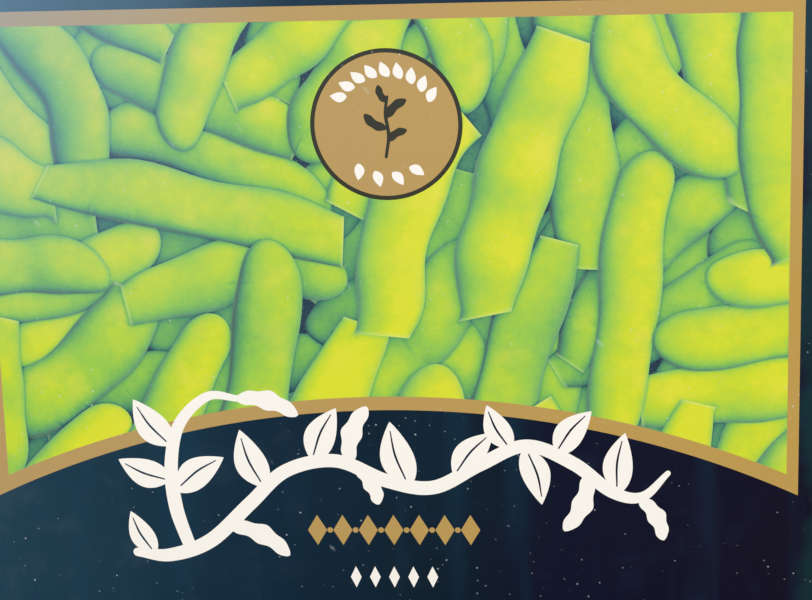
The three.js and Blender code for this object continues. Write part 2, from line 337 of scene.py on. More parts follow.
class Pods:
    """A heap of pods seen from above. Along a pod runs s, from -1 to 1.

    Its middle line leaves the straight line between its ends by a bow, one minus s squared, by a sway, s
    times one minus s squared, and by a slight wave. Its half width swells at each bean and falls towards the
    ends: to a share of the width at a cut end, and nearly as a quarter ellipse to nothing at a whole one.
    A cut is a slanting line. The last two fields, the turn of its panel and the number of its picture, are
    added when the heap is printed.
    """

    FIELDS = (
        "x", "v", "angle", "length", "width", "bow", "sway", "level", "cut0", "cut1", "slant0", "slant1",
        "beans", "phase", "tone", "pitch", "roll", "upright", "picture",
    )
    ANGLE = FIELDS.index("angle")
    LEVEL = FIELDS.index("level")
    SWELL = 0.065
    THICKNESS = 0.66
    BEAN_RISE = 0.12
    WAVE = 0.35

    def __init__(self, rows):
        for name, column in zip(self.FIELDS, np.moveaxis(np.asarray(rows, float), -1, 0)):
            setattr(self, name, column)

    def line(self, s):
        arc = 1 - s * s
        return self.bow * arc + self.sway * s * arc + self.WAVE * np.sin(2.1 * math.pi * s + self.phase)

    def lean(self, s):
        """The slope of the middle line."""
        wave = self.WAVE * 2.1 * math.pi * np.cos(2.1 * math.pi * s + self.phase)
        return (-2 * self.bow * s + self.sway * (1 - 3 * s * s) + wave) / self.length

    def breadth(self, s):
        """The half width, measured square to the straight line between the ends."""
        wave = -np.cos(math.pi * self.beans * (s + 1) + 0.4 * self.phase)
        width = self.width * (1 + self.SWELL * wave * (1 - s ** 4))
        blunt = 1.25 * self.width / self.length
        for sign, cut in ((-1, self.cut0), (1, self.cut1)):
            q = np.clip((sign * s - 0.35) / 0.65, 0, 1)
            narrowed = 1 - (1 - np.where(cut > 0, cut, 0.85)) * q * q
            q = np.clip((sign * s - 1 + blunt) / blunt, 0, 1)
            width = width * narrowed * np.where(cut > 0, 1, np.sqrt(np.clip(1 - q ** 2.2, 0, 1)))
        return width * np.hypot(1, self.lean(s))

    def local(self, points):
        """Where points lie on their pods: s, the distance off the middle line, and the half width there."""
        dx = points[..., 0] - self.x
        dy = points[..., 1] - self.v
        cos, sin = np.cos(self.angle), np.sin(self.angle)
        s = (dx * cos + dy * sin) / self.length
        held = np.clip(s, -1, 1)
        off = -dx * sin + dy * cos - self.line(held)
        return s, off, self.breadth(held)

    def beyond(self, s, off):
        """How far past each end a point lies, in millimetres along the pod."""
        slant0, slant1 = self.slants()
        return -s * self.length - self.length - slant0 * off, s * self.length - self.length - slant1 * off

    def slants(self):
        """How far the cuts lean: their own slant, and the turn that sets them square to the middle line."""
        cut0, cut1 = self.cut0 > 0, self.cut1 > 0
        return (self.slant0 + self.lean(-1.0)) * cut0, (self.slant1 - self.lean(1.0)) * cut1

    def distance(self, points):
        """How far points are from pods, in millimetres, and less than 0 inside them."""
        s, off, width = self.local(points)
        beside = np.abs(off) - width
        past = np.maximum(*self.beyond(s, off))
        outside = np.hypot(np.clip(beside, 0, None), np.clip(past, 0, None))
        return outside + np.minimum(np.maximum(beside, past), 0)

    def normal(self, points):
        """The pod's surface normal (x, v, out): its height is a share of the half chord over each point."""
        s, off, width = self.local(points)
        held = np.clip(s, -0.999, 0.999)
        step = 1e-3
        span = 2 * step * self.length
        swell = (self.breadth(held + step) ** 2 - self.breadth(held - step) ** 2) / (2 * span)
        root = np.sqrt(np.clip(width * width - off * off, (0.17 * self.width) ** 2, None))
        phase = math.pi * self.beans * (held + 1) + 0.4 * self.phase
        thick = self.THICKNESS * (1 - self.BEAN_RISE * np.cos(phase))
        rise = self.THICKNESS * self.BEAN_RISE * np.sin(phase) * math.pi * self.beans / self.length
        along = self.pitch - (thick * (swell + off * self.lean(held)) / root + rise * root)
        across = self.roll + thick * off / root
        cos, sin = np.cos(self.angle), np.sin(self.angle)
        out = np.stack([along * cos - across * sin, along * sin + across * cos, np.ones_like(along)], -1)
        return out / np.linalg.norm(out, axis=-1, keepdims=True)

    def ring(self, offset=0.0, steps=36):
        """One pod's outline, moved outwards by offset, with its points closer together towards the ends."""
        stretch = 1 + offset / self.length
        slant0, slant1 = self.slants()
        sides = []
        for sign in (-1, 1):
            first = -1 - slant0 * sign * self.breadth(-1.0) / self.length
            last = 1 + slant1 * sign * self.breadth(1.0) / self.length
            s = first + (last - first) * (1 - np.cos(np.linspace(0, math.pi, steps))) / 2
            held = np.clip(s, -1, 1)
            off = sign * np.clip(self.breadth(held) + offset, 0, None)
            sides.append(np.stack([s * stretch * self.length, self.line(held) + off], 1))
        outline = turned(np.concatenate([sides[0], sides[1][::-1]]), self.angle, (self.x, self.v))
        apart = np.linalg.norm(outline - np.roll(outline, 1, 0), axis=1) > 0.05
        return outline[apart]


def chance_pod(rng, box, level, field, scale):
    """One pod's fields, drawn by chance, with its middle in the box. Field gives the heap's lie there."""
    centre = rng.uniform(*box)
    angle = field(*centre) + rng.normal(0, 0.34) + math.pi * rng.integers(2)
    length = scale * rng.uniform(24, 37)
    width = scale * rng.uniform(6.4, 8.8)
    bow = scale * rng.choice((-1, 1)) * min(abs(rng.normal(3.4, 2.6)), 8.0)
    sway = scale * rng.normal(0, 2.4)
    cuts = np.where(rng.random(2) < (0.72, 0.42), rng.uniform(0.5, 0.85, 2), 0)
    slants = np.where(cuts > 0, rng.uniform(-0.4, 0.4, 2), 0)
    beans = rng.choice((2, 3), p=(0.5, 0.5))
    return (
        *centre, angle, length, width, bow, sway, level + 0.8 * rng.random(), *cuts, *slants, beans,
        rng.uniform(0, 6.28), rng.normal(0, 1), rng.normal(0, 0.16), rng.normal(0, 0.12),
    )


def heap(rng, box, field, scale=1.0):
    """A picture of heaped pods in box, as rows of their fields. Tiers go down from the top: each takes the
    places that it finds free, with little overlap in its own tier, until only small gaps are left."""
    cell = 2.0 * scale
    margin = 8 * scale
    reach = 44 * scale
    x0, v0, x1, v1 = box
    wide = ((x0 - margin, v0 - margin), (x1 + margin, v1 + margin))
    xs, vs = (np.arange(start, stop, cell) for start, stop in zip(*wide))
    grid = np.stack(np.meshgrid(xs, vs, indexing="ij"), -1)
    covered = np.zeros(grid.shape[:2], bool)
    kept = []
    for level, overlap, gain, tries in TIERS:
        own = np.zeros_like(covered)
        for _ in range(tries):
            row = chance_pod(rng, wide, level, field, scale)
            x, v, _, length, width = row[:5]
            i0 = max(int((x - reach - xs[0]) / cell), 0)
            j0 = max(int((v - reach - vs[0]) / cell), 0)
            part = (slice(i0, i0 + int(2 * reach / cell)), slice(j0, j0 + int(2 * reach / cell)))
            needed = gain * 2.4 * length * width / cell ** 2  # a slim pod's cells
            if np.count_nonzero(~covered[part]) < needed:
                continue
            under = Pods(row).distance(grid[part]) < 0
            count = under.sum()
            crowded = (under & own[part]).sum() > overlap * count
            if count == 0 or crowded or (under & ~covered[part]).sum() < gain * count:
                continue
            own[part] |= under
            covered[part] |= under
            kept.append(row)
    kept = np.array(kept)
    return kept[np.argsort(kept[:, Pods.LEVEL])]


# Print

NAVY, GOLD, PICTURE, CREAM, DARK, RAW = range(6)  # the board's materials, in the order of INKS


class Panel:
    """A face of the carton as someone sees it who stands before it: x to the right, y up, in millimetres.

    Place gives the blank point of a panel point: the origin plus or minus x and y, minus where the panel
    hangs upside down on the blank.
    """

    def __init__(self, origin, upright=1):
        self.origin = np.array(origin, float)
        self.upright = upright

    def place(self, points):
        return self.origin + self.upright * np.asarray(points, float)


FLAP_MIDDLE = OUTER_REACH - FOLD + QUARTER + SIDE - FOLD
FRONT = Panel((0, 0))
TOP = Panel((0, TOP_START - FOLD + SIDE))
BACK = Panel((0, BACK_START + HEIGHT - FOLD), -1)
BOTTOM = Panel((0, FOLD - QUARTER - SIDE + FOLD))
RIGHT_END = Panel((FLAP_MIDDLE, 0))
LEFT_END = Panel((-FLAP_MIDDLE, 0))


class Artwork:
    """Outlines in inks on the flat blank, each laid over the ones before it, and points for their shading.

    With each outline goes its ink, and the numbers of the pod and of the picture that it shows, or -1.
    """

    def __init__(self):
        self.outlines = []
        self.shown = []
        self.points = []
        self.rows = np.zeros((0, len(Pods.FIELDS)))

    def lay(self, outline, *shown):
        self.outlines.append(outline if signed_area(outline) >= 0 else outline[::-1])
        self.shown.append(shown)

    def put(self, panel, outline, ink):
        self.lay(panel.place(outline), ink, -1, -1)

    def label(self, spots):
        """What the topmost outline over each spot shows. Pods show only in their own picture."""
        found = np.full((len(spots), 3), (NAVY, -1, -1))
        for outline, shown in zip(self.outlines, self.shown):
            near = np.nonzero(np.all((spots >= outline.min(0)) & (spots <= outline.max(0)), 1))[0]
            _, pod, picture = shown
            if pod >= 0:
                near = near[found[near, 2] == picture]
            found[near[inside(spots[near], outline)]] = shown
        return found

    def put_heap(self, panel, window, rng, field, scale=1.0):
        """Fills a window with heaped pods, and adds the points near every pod's edge for their shading."""
        rows = heap(rng, (*window.min(0), *window.max(0)), field, scale)
        window = panel.place(window)
        rows[:, :2] = panel.place(rows[:, :2])
        if panel.upright < 0:
            rows[:, Pods.ANGLE] += math.pi
        first = len(self.rows)
        self.lay(window, PICTURE, -1, first)
        shading = []
        for number, row in enumerate(rows):
            pod = Pods(row)
            self.lay(pod.ring(), PICTURE, first + number, first)
            near = np.concatenate([pod.ring(offset * scale, steps) for offset, steps in SHADING_RINGS])
            near = near[inside(near, window)]
            for above in rows[number + 1:]:
                if len(near) and abs(above[0] - row[0]) < POD_SPAN * scale:
                    near = near[Pods(above).distance(near) > 0.4 * scale]
            shading.append(near)
        self.points.append(thinned(np.concatenate(shading), 0.5 * scale))
        printed = np.full((len(rows), 2), (panel.upright, first), float)
        self.rows = np.concatenate([self.rows, np.hstack([rows, printed])])


def put_leaves(art, panel, rows):
    """Cream leaves with dark ribs, in rows of x, y, degrees, length and width."""
    for x, y, degrees, length, width in rows:
        angle = math.radians(degrees)
        art.put(panel, turned(leaf_shape(length, width), angle, (x, y)), CREAM)
        rib = [(along * length, rise * length, thick) for along, rise, thick in LEAF_RIB]
        art.put(panel, turned(stroke(rib), angle, (x, y)), NAVY)


def put_pods(art, panel, rows, ink, beans=3, centre=(0, 0)):
    """Small pods in rows of x and y from the centre, degrees, length and width."""
    for x, y, degrees, length, width in rows:
        place = (centre[0] + x, centre[1] + y)
        art.put(panel, turned(pod_shape(length, width, beans), math.radians(degrees), place), ink)


def put_frame(art, panel, half, foot, head, width):
    """A ruled frame: a gold rectangle with navy laid over all but its border."""
    art.put(panel, rectangle(-half, foot, half, head), GOLD)
    art.put(panel, rectangle(-half + width, foot + width, half - width, head - width), NAVY)


def put_table(art, panel, box, lines, columns):
    """A blank table: a cream field with evenly spaced dark rules and a few uprights."""
    x0, y0, x1, y1 = box
    art.put(panel, rectangle(x0, y0, x1, y1), CREAM)
    for y in np.linspace(y0, y1, lines + 1)[1:-1]:
        art.put(panel, rectangle(x0 + 2, y - 0.15, x1 - 2, y + 0.15), DARK)
    for share in columns:
        x = x0 + share * (x1 - x0)
        art.put(panel, rectangle(x - 0.15, y0 + 2, x + 0.15, y1 - 2), DARK)


LEAF_RIB = ((0.12, 0.04, 0.35), (0.5, 0.075, 0.5), (0.86, 0.035, 0.25))  # along, aside, and its width
# The brush-drawn vine over the front's dark foot: stems as (x, y, width) knots, then leaves and pods
VINE_STEMS = (
    [(-62.0, 15.6, 2.2), (-54, 14.9, 3.3), (-44, 18.6, 3.6), (-34, 28.0, 3.4), (-25, 36.2, 3.3),
     (-13, 38.6, 3.3), (-1, 33.6, 3.4), (10, 32.0, 3.4), (21, 37.6, 3.3), (32, 42.2, 3.2), (43, 37.8, 3.3),
     (52, 30.8, 3.0), (59, 29.6, 2.4), (65, 35.4, 1.3)],
    [(-49.0, 16.6, 3.0), (-52.0, 27.0, 3.4), (-52.6, 38.0, 3.2), (-50.0, 48.0, 2.8), (-43.0, 54.6, 2.2),
     (-35.5, 54.0, 1.5)],
)
VINE_LEAVES = (
    (-52.8, 34.0, 158, 13.5, 7.0), (-52.0, 42.5, 128, 14.5, 7.4), (-51.6, 31.0, 36, 14.5, 7.4),
    (-30.0, 32.0, 112, 15.5, 7.6), (-18.5, 38.4, 66, 14.5, 7.4), (4.5, 32.4, 106, 16.5, 8.0),
    (15.0, 34.4, 50, 14.5, 7.2), (28.5, 41.6, 118, 12.0, 6.2), (39.0, 40.0, 52, 13.5, 6.8),
    (53.5, 30.4, 84, 15.0, 7.0), (31.5, 41.6, -74, 14.5, 6.8), (-57.5, 15.4, 118, 12.0, 5.8),
)
VINE_PODS = (
    (-36.5, 54.2, -16, 15.5, 5.0), (-39.5, 22.6, -28, 16.5, 5.2), (-10.0, 37.8, 72, 15.0, 5.2),
    (46.5, 35.4, -112, 15.5, 5.2), (58.5, 29.4, -62, 12.0, 4.6), (-8.0, 37.0, -62, 10.5, 4.6),
)
BADGE_LEAVES = ((32, 148, 9), (-122, -58, 4))  # arcs of leaves, in degrees, and how many
BADGE_LEAF_RADIUS = 12.6
BADGE_STEM = ((-0.2, -7.4, 0.7), (0.5, -2.5, 0.8), (-0.1, 2.5, 0.8), (0.4, 6.4, 0.6))
BADGE_PODS = (
    (0.1, 1.6, 42, 6.2, 2.5), (0.1, -1.0, 146, 6.2, 2.5), (0.4, 5.0, 118, 4.6, 2.0),
    (0.2, -3.8, 30, 5.2, 2.2),
)


def arched(half, foot, crest, head):
    """A window with an arched foot and a straight head."""
    return np.concatenate([arch(half, foot, crest), [(half, head), (-half, head)]])


def front_art(art, rng):
    def lie(x, v):
        return 0.9 + 0.8 * math.sin(0.026 * x + 0.6) + 0.7 * math.cos(0.034 * v + 0.018 * x)

    art.put(FRONT, arched(GOLD_HALF, GOLD_FOOT, GOLD_ARCH_TOP, GOLD_TOP), GOLD)
    art.put_heap(FRONT, arched(WINDOW_HALF, WINDOW_FOOT, ARCH_TOP, WINDOW_TOP), rng, lie)
    badge(art)
    for knots in VINE_STEMS:
        art.put(FRONT, stroke(knots), CREAM)
    put_pods(art, FRONT, VINE_PODS, CREAM)
    put_leaves(art, FRONT, VINE_LEAVES)
    for step in range(-3, 4):
        art.put(FRONT, lozenge(LOZENGE_STEP * step + 0.2, GOLD_ROW, 4.6, 7.6), GOLD)
        if step < 3:
            art.put(FRONT, circle((LOZENGE_STEP * step + 3.25, GOLD_ROW), 0.7, 12), GOLD)
    for step in range(-2, 3):
        art.put(FRONT, lozenge(4.6 * step, CREAM_ROW, 2.6, 5.4), CREAM)


def badge(art):
    """The seal on the picture: a gold disc in a dark ring, with leaves round it and a sprig in the middle."""
    art.put(FRONT, circle(BADGE_PLACE, BADGE_RADIUS), DARK)
    art.put(FRONT, circle(BADGE_PLACE, BADGE_RADIUS - BADGE_RING), GOLD)
    for start, stop, count in BADGE_LEAVES:
        for angle in np.radians(np.linspace(start, stop, count)):
            place = BADGE_PLACE + BADGE_LEAF_RADIUS * np.array([math.cos(angle), math.sin(angle)])
            art.put(FRONT, turned(leaf_shape(3.9, 2.3) - (1.9, 0), angle + 0.5, place), CREAM)
    art.put(FRONT, stroke(BADGE_STEM + np.array([*BADGE_PLACE, 0.0])), DARK)
    put_pods(art, FRONT, BADGE_PODS, DARK, 2, BADGE_PLACE)


def top_art(art, rng):
    """The top: a frame, a strip of pods, a sprig. The photograph shows only the front, so this is guessed."""
    put_frame(art, TOP, 93, -14.5, 14.5, 1.2)
    art.put_heap(TOP, rectangle(-88, -11.5, 30, 11.5), rng, lambda x, v: 0.4 * math.sin(0.03 * x))
    stem = ((37, -3.2, 1.0), (47, 1.5, 1.9), (58, -2.0, 2.0), (70, 2.4, 1.9), (84, 1.2, 0.9))
    art.put(TOP, stroke(stem), CREAM)
    lie = ((46, 1.4, 62), (57, -1.8, -58), (69, 2.2, 70), (76, 2.0, -48))
    put_leaves(art, TOP, [(*place, 9.0, 4.2) for place in lie])


def end_art(art, end):
    """An end: a frame, an upright sprig and three lozenges."""
    put_frame(art, end, 15.0, 6, 144, 0.8)
    stem = ((-2, 40, 1.2), (1.6, 58, 2.4), (-1.6, 78, 2.5), (1.4, 98, 2.2), (0, 116, 1.0))
    art.put(end, stroke(stem), CREAM)
    lie = ((1, 56, 24), (-1, 68, 152), (-1, 82, 30), (0.8, 94, 148), (0.6, 108, 40), (0.4, 114, 118))
    put_leaves(art, end, [(*place, 12.5, 5.6) for place in lie])
    for step in range(-1, 2):
        art.put(end, lozenge(LOZENGE_STEP * step, 24, 4.4, 7.2), GOLD)


def back_art(art, rng):
    """The back: a frame, a smaller picture of pods, blank tables, three rings with pods, three rules."""
    put_frame(art, BACK, 94.5, 5, 145, 1.2)
    left, right, foot, head, rim = -89, -12, 88, 139, 1.6
    bow = arch((right - left) / 2, 84, 91, 24) + ((left + right) / 2, 0)
    corners = [(right + rim, foot + rim), (right + rim, head + rim), (left - rim, head + rim)]
    art.put(BACK, np.concatenate([bow - (0, rim), corners]), GOLD)
    window = np.concatenate([bow, [(right, head), (left, head)]])
    art.put_heap(BACK, window, rng, lambda x, v: 0.7 + 0.02 * x, 0.62)
    put_table(art, BACK, (4, 50, 88, 138), 12, (0.52, 0.76))
    put_table(art, BACK, (-88, 14, -10, 44), 4, (0.5,))
    for x in (20, 46, 72):
        art.put(BACK, circle((x, 29), 11, 48), GOLD)
        art.put(BACK, circle((x, 29), 10, 48), NAVY)
        put_pods(art, BACK, ((-6.2, -3.5, 20, 12.5, 4.0), (-6.2, 1.2, 20, 12.5, 4.0)), CREAM, centre=(x, 28))
    for y in (60, 66, 72):
        art.put(BACK, rectangle(-88, y, -10 - (y - 60), y + 0.7), GOLD)


# Shading of the printed pods

PICTURE_LIGHT = np.array([0.34, 0.24, 1.0]) / np.linalg.norm([0.34, 0.24, 1.0])
SHADE_SHIFT = 1.4  # how far a shadow falls aside, in millimetres
TOUCH_LIMIT = 5.0
CUT_LIMIT = 9
# What the picture's ink reads at each corner of the printed face: the pod's normal to the right and up, its
# share of open light, the way in from its nearest cut end, its own tone, its level (-1 under all pods), and
# the way from the next higher pod's edge. The ways are in millimetres on a pod of standard width.
POD_FACTS = ("pod_right", "pod_up", "pod_light", "pod_cut", "pod_tone", "pod_level", "pod_touch")


def picture_shade(points, owners, pictures, art):
    """How open each point is to the light, from 0 to 1, and how near the next higher pod's edge is.

    Every pod that lies higher darkens the points near its edge, further out the higher it lies, and draws a
    thin dark line where it touches.
    """
    level = np.where(owners >= 0, art.rows[np.clip(owners, 0, None), Pods.LEVEL], -1.0)
    light = np.ones(len(points))
    touch = np.full(len(points), TOUCH_LIMIT)
    for row in art.rows:
        pod = Pods(row)
        drop = pod.level - level
        close = np.hypot(*(points - row[:2]).T) < pod.length + 14
        near = np.nonzero((drop > 0) & close & (pictures == pod.picture))[0]
        if not len(near):
            continue
        rise = drop[near]
        size = pod.width / STANDARD_HALF
        shifted = points[near] + SHADE_SHIFT * size * pod.upright * PICTURE_LIGHT[:2]
        far = np.clip(pod.distance(shifted), 0, None) / size
        gap = np.clip(pod.distance(points[near]), 0, None)
        light[near] *= 1 - np.clip(0.17 + 0.11 * rise, 0, 0.62) * np.exp(-far / (0.7 + 0.9 * rise))
        light[near] *= 1 - 0.36 * np.exp(-gap / (0.22 * size))
        touch[near] = np.minimum(touch[near], gap)
    return light, touch


def corner_facts(corner, owner, picture, art):
    """The values of POD_FACTS at the given corners."""
    pods = Pods(art.rows[np.clip(owner, 0, None)])
    size = pods.width / STANDARD_HALF
    normal = pods.normal(corner) * pods.upright[:, None]
    light, touch = np.ones(len(corner)), np.full(len(corner), TOUCH_LIMIT)
    shown = picture >= 0
    light[shown], touch[shown] = picture_shade(corner[shown], owner[shown], picture[shown], art)
    s, off, _ = pods.local(corner)
    ends = zip((pods.cut0, pods.cut1), pods.beyond(s, off))
    cut = np.minimum(*(np.where(share > 0, -past, CUT_LIMIT) for share, past in ends))
    cut = np.clip(cut, 0, CUT_LIMIT) / size
    printed = owner >= 0
    level = np.where(printed, pods.level / TOP_LEVEL, -1)
    own = [values * printed for values in (normal[:, 0], normal[:, 1], cut, pods.tone)]
    return dict(zip(POD_FACTS, (own[0], own[1], light, own[2], own[3], level, touch / size)))


# Mesh of the carton

ATLAS_PIXELS = 1024
# Where each part of the blank lies on the texture: panel, side of the tube, corner, pixels to a millimetre
ATLAS = [
    ("front", 0, 0.003, 0.003, 4.0),
    ("back", 0, 0.003, 0.605, 2.6),
    ("top", 0, 0.512, 0.630, 2.4),
    ("bottom", 0, 0.512, 0.728, 2.4),
    ("front", -1, 0.798, 0.262, 2.5),
    ("front", 1, 0.898, 0.262, 2.5),
    ("glue", 0, 0.582, 0.870, 0.8),
]
SMALL_FLAPS = [(name, side) for name in ("back", "top", "bottom") for side in (-1, 1)]
ATLAS += [(*flap_side, 0.512 + 0.035 * step, 0.826, 0.8) for step, flap_side in enumerate(SMALL_FLAPS)]
ATLAS_RAW = (0.802, 0.004, 0.62)
ATLAS_RIM = 1.2  # width of the cut edge on the texture, in pixels


def crease_lines():
    """Lines of the flat blank that its mesh has to bend along: round the tube's folds, and the flaps'."""
    lines = []
    for name, length, turns, reach in Wrap.RUNS:
        start = wrap.start[name]
        if turns:
            for v in np.linspace(start, start + length, FOLD_STEPS + 1):
                lines.append(((-TUBE_END, v), (TUBE_END, v)))
    for name, length, turns, reach in Wrap.RUNS:
        start = wrap.start[name]
        if reach:
            for x in np.linspace(reach - FOLD, reach - FOLD + QUARTER, FOLD_STEPS + 1):
                lines += [((sign * x, start), (sign * x, start + length)) for sign in (-1, 1)]
    return lines


def crease_gap(verts):
    """How far blank points lie from the middle of the nearest crease, up to 3 mm."""
    gap = np.full(len(verts), 3.0)
    for name, length, turns, reach in Wrap.RUNS:
        start = wrap.start[name]
        if turns:
            gap = np.minimum(gap, np.abs(verts[:, 1] - start - length / 2))
        elif reach:
            inner = (verts[:, 1] > start) & (verts[:, 1] < start + length)
            gap[inner] = np.minimum(gap[inner], np.abs(np.abs(verts[inner, 0]) - reach + FOLD - QUARTER / 2))
    return gap


def triangulated(outline, loops, points):
    """The blank's vertices and triangles, cut along its outline, its creases and closed loops."""
    coords = []
    edges = []
    for loop in (outline, *loops):
        first = len(coords)
        coords += [Vector(p) for p in loop]
        edges += [(first + i, first + (i + 1) % len(loop)) for i in range(len(loop))]
    for a, b in crease_lines():
        edges.append((len(coords), len(coords) + 1))
        coords += [Vector(a), Vector(b)]
    coords += [Vector(p) for p in points]
    verts, _, faces, _, _, _ = delaunay_2d_cdt(coords, edges, [], 0, 1e-4, False)
    verts = np.array([tuple(v) for v in verts])
    faces = np.array(faces)
    faces = faces[inside(verts[faces].mean(1), outline)]
    used = np.unique(faces)
    renumber = np.full(len(verts), -1)
    renumber[used] = np.arange(len(used))
    return verts[used], renumber[faces]


def open_edges(faces, count):
    """The directed edges that only one triangle has."""
    start = faces.astype(np.int64).T.ravel()
    stop = np.roll(faces, -1, 1).astype(np.int64).T.ravel()
    alone = ~np.isin(start * count + stop, stop * count + start)
    return np.stack([start, stop], 1)[alone]


def atlas_places(verts, faces, raw_verts, raw_faces, rim):
    """Texture places of all corners: each part of the printed face moved and scaled as ATLAS says, the raw
    face whole in its own corner, and the cut edge as a thin strip round that."""
    bands = ("front foot fold", "top", "back head fold", "glue")
    corners = verts[faces]
    middle = corners.mean(1)
    band = np.searchsorted([wrap.start[name] for name in bands], middle[:, 1], side="right")
    reach = np.array([DUST_REACH, OUTER_REACH, DUST_REACH, INNER_REACH, 1e6])[band]
    side = np.where(np.abs(middle[:, 0]) > reach - FOLD, np.sign(middle[:, 0]), 0)
    places = np.zeros_like(corners)
    for name, which, left, foot, scale in ATLAS:
        here = (band == ("bottom", "front", "top", "back", "glue").index(name)) & (side == which)
        if here.any():
            part = corners[here]
            places[here] = (part - part.min((0, 1))) * scale / ATLAS_PIXELS + (left, foot)
    left, foot, scale = ATLAS_RAW
    corner = verts.min(0)
    start, stop = (np.moveaxis(verts[rim], 1, 0) - corner) * scale / ATLAS_PIXELS + (left, foot)
    run = stop - start
    out = np.stack([run[:, 1], -run[:, 0]], 1) / np.linalg.norm(run, axis=1, keepdims=True)
    out *= ATLAS_RIM / ATLAS_PIXELS
    raw = (raw_verts - corner) * scale / ATLAS_PIXELS + (left, foot)
    return np.concatenate([
        places.reshape(-1, 2),
        raw[raw_faces[:, ::-1]].reshape(-1, 2),
        np.stack([stop + out, start + out, start], 1).reshape(-1, 2),
        np.stack([stop + out, start, stop], 1).reshape(-1, 2),
    ])


def write_values(mesh, name, domain, values):
    """A number for each corner or point of the mesh, 0 past the last value."""
    made = mesh.attributes.new(name, "FLOAT", domain)
    data = np.zeros(len(made.data), np.float32)
    data[: len(values)] = values
    made.data.foreach_set("value", data)


def board_mesh(name, art):
    """The folded blank: a printed outer face with its shading, the raw inner face, and the cut edges."""
    outline = blank_outline()
    across = np.arange(-90, 91, MESH_STEP)
    round_tube = np.arange(wrap.knots()[0] + 3, wrap.end, MESH_STEP)
    grid = np.stack(np.meshgrid(across, round_tube), -1).reshape(-1, 2)
    grid = grid[inside(grid, outline)]
    verts, faces = triangulated(outline, art.outlines, np.concatenate([grid, *art.points]))
    rim = open_edges(faces, len(verts))
    onward = dict(rim.tolist())
    loop = [rim[0, 0]]
    while onward[loop[-1]] != loop[0]:
        loop.append(onward[loop[-1]])
    raw_verts, raw_faces = triangulated(verts[loop], [], grid)
    behind = np.full(len(verts), -1)
    behind[loop] = [np.argmin(np.abs(raw_verts - verts[each]).sum(1)) for each in loop]
    shown = art.label(verts[faces].mean(1))
    _, pod, picture = np.repeat(shown, 3, axis=0).T

    count = len(verts)
    outer = folded(verts[:, 0], verts[:, 1], 0.0)
    inner = folded(raw_verts[:, 0], raw_verts[:, 1], BOARD)
    start, stop = rim.T
    every = np.concatenate([
        faces,
        raw_faces[:, ::-1] + count,
        np.stack([stop, start, behind[start] + count], 1),
        np.stack([stop, behind[start] + count, behind[stop] + count], 1),
    ])
    mesh = bpy.data.meshes.new(name)
    mesh.from_pydata(np.concatenate([outer, inner]), [], every, shade_flat=False)
    inks = np.full(len(every), RAW)
    inks[: len(faces)] = shown[:, 0]
    mesh.polygons.foreach_set("material_index", inks)
    for fact, values in corner_facts(verts[faces].reshape(-1, 2), pod, picture, art).items():
        write_values(mesh, fact, "CORNER", values)
    write_values(mesh, "crease_gap", "POINT", crease_gap(np.concatenate([verts, raw_verts])))
    places = atlas_places(verts, faces, raw_verts, raw_faces, rim).astype(np.float32)
    mesh.uv_layers.new(name="OFBake").uv.foreach_set("vector", places.ravel())
    for ink in INKS:
        mesh.materials.append(ink())
    mesh.set_sharp_from_angle(angle=math.radians(50))
    piece = bpy.data.objects.new(name, mesh)
    bpy.context.scene.collection.objects.link(piece)
    print("carton board:", len(every), "triangles,", len(art.rows), "printed pods")
    return piece


# Materials


def operator(operation, swapped=False):
    """An operator for Wire, which adds a maths node that works on the wire and the other number."""
    def added(self, other):
        return self.shader.maths(operation, *((other, self) if swapped else (self, other)))
    return added


class Wire:
    """A number in a shader that takes part in sums, such as 1 - wire or wire * 0.5 + other."""

    def __init__(self, shader, socket):
        self.shader = shader
        self.socket = socket

    __add__ = __radd__ = operator("ADD")
    __sub__ = operator("SUBTRACT")
    __rsub__ = operator("SUBTRACT", swapped=True)
    __mul__ = __rmul__ = operator("MULTIPLY")
    __truediv__ = operator("DIVIDE")
    __pow__ = operator("POWER")

    def held(self):
        """The number kept between 0 and 1."""
        return self.shader.wire("Clamp", {}, {"Value": self}, "Result")

    def ramp(self, start, stop):
        """0 below start, 1 above stop, and a smooth rise between them."""
        inputs = {"Value": self, "From Min": start, "From Max": stop}
        return self.shader.wire("MapRange", {"interpolation_type": "SMOOTHSTEP"}, inputs, "Result")


